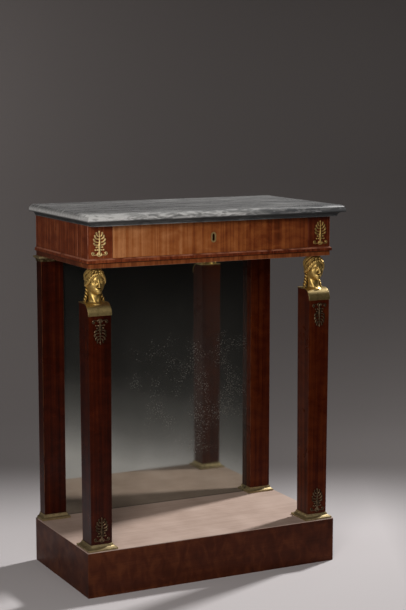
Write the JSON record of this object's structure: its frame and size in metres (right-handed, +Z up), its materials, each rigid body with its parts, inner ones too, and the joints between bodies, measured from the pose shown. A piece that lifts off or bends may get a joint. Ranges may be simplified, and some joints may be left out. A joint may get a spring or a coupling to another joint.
{
  "type": "pier table",
  "caption": "Pier table with a marble top, a frieze drawer with a lock, tapered legs under bronze busts, rear pilasters, a mirror back and a box plinth.",
  "frame": {"origin": "on the floor, under the centre of the overall box", "axes": "+X to the right of a person facing the drawer, +Y back to the wall, +Z up"},
  "size_m": [0.662, 0.367, 0.88],
  "materials": {
    "marble": "honed blue-grey marble with pale streaks, moulded edge",
    "mahogany_case": "french-polished mahogany veneer, dark red, upright grain",
    "mahogany_rail": "french-polished mahogany veneer, short upright grain",
    "mahogany_frame": "french-polished mahogany, dark red",
    "mahogany_post": "french-polished mahogany veneer, dark, upright grain",
    "mahogany_plinth": "french-polished mottled mahogany veneer, worn lower edge",
    "mahogany_drawer": "french-polished striped mahogany veneer, lighter",
    "oak_carcase": "planed oak, unfinished",
    "oak_drawer": "planed oak, unfinished",
    "deck_veneer": "pale matte veneer",
    "gilt_bronze": "chased and fire-gilt bronze",
    "dark_bronze": "gilt bronze darkened by patina",
    "olive_bronze": "matte gilt bronze, dulled",
    "lock_brass": "polished brass, tarnished",
    "iron": "wrought iron, filed and oiled",
    "mirror_glass": "old silvered plate with foxing"
  },
  "bodies": {
    "table": {"marble_top": "marble", "corner_block_left": "mahogany_case", "corner_block_right": "mahogany_case", "frieze_side_left": "mahogany_case", "frieze_side_right": "mahogany_case", "moulding_front": "mahogany_case", "moulding_left": "mahogany_case", "moulding_right": "mahogany_case", "lower_frame_front": "mahogany_rail", "lower_frame_left": "mahogany_frame", "lower_frame_right": "mahogany_frame", "lower_frame_back": "mahogany_frame", "leg_left": "mahogany_post", "leg_right": "mahogany_post", "pilaster_left": "mahogany_post", "pilaster_right": "mahogany_post", "plinth_front": "mahogany_plinth", "plinth_side_left": "mahogany_plinth", "plinth_side_right": "mahogany_plinth", "frieze_back": "oak_carcase", "top_rail": "oak_carcase", "dust_board": "oak_carcase", "drawer_runners": "oak_carcase", "drawer_guides": "oak_carcase", "drawer_stops": "oak_carcase", "plinth_back": "oak_carcase", "plinth_deck": "oak_carcase", "plinth_corner_blocks": "oak_carcase", "mirror_back_panel": "oak_carcase", "plinth_deck_veneer": "deck_veneer", "herm_bust_left": "gilt_bronze", "herm_bust_right": "gilt_bronze", "frieze_palmette_left": "gilt_bronze", "frieze_palmette_right": "gilt_bronze", "leg_palmette_left": "dark_bronze", "leg_palmette_right": "dark_bronze", "foot_palmette_left": "dark_bronze", "foot_palmette_right": "dark_bronze", "leg_base_left": "olive_bronze", "leg_base_right": "olive_bronze", "pilaster_base_left": "olive_bronze", "pilaster_base_right": "olive_bronze", "pilaster_capital_left": "olive_bronze", "pilaster_capital_right": "olive_bronze", "mount_pins": "olive_bronze", "strike_plate": "lock_brass", "tie_rods": "iron", "leg_screws": "iron", "mirror_glass": "mirror_glass"},
    "drawer": {"drawer_side_left": "oak_drawer", "drawer_side_right": "oak_drawer", "drawer_front": "mahogany_drawer", "drawer_back": "oak_drawer", "drawer_bottom": "oak_drawer", "lock_case": "iron", "lock_escutcheon": "lock_brass", "lock_screws": "iron"},
    "lock_bolt": {"lock_bolt": "iron"}
  },
  "joints": [
    {"name": "drawer_slide", "type": "slide", "parent": "table", "child": "drawer", "axis": [0, -1, 0], "range_m": [0, 0.215]},
    {"name": "lock_bolt_slide", "type": "slide", "parent": "drawer", "child": "lock_bolt", "axis": [0, 0, 1], "range_m": [0, 0.007]}
  ]
}
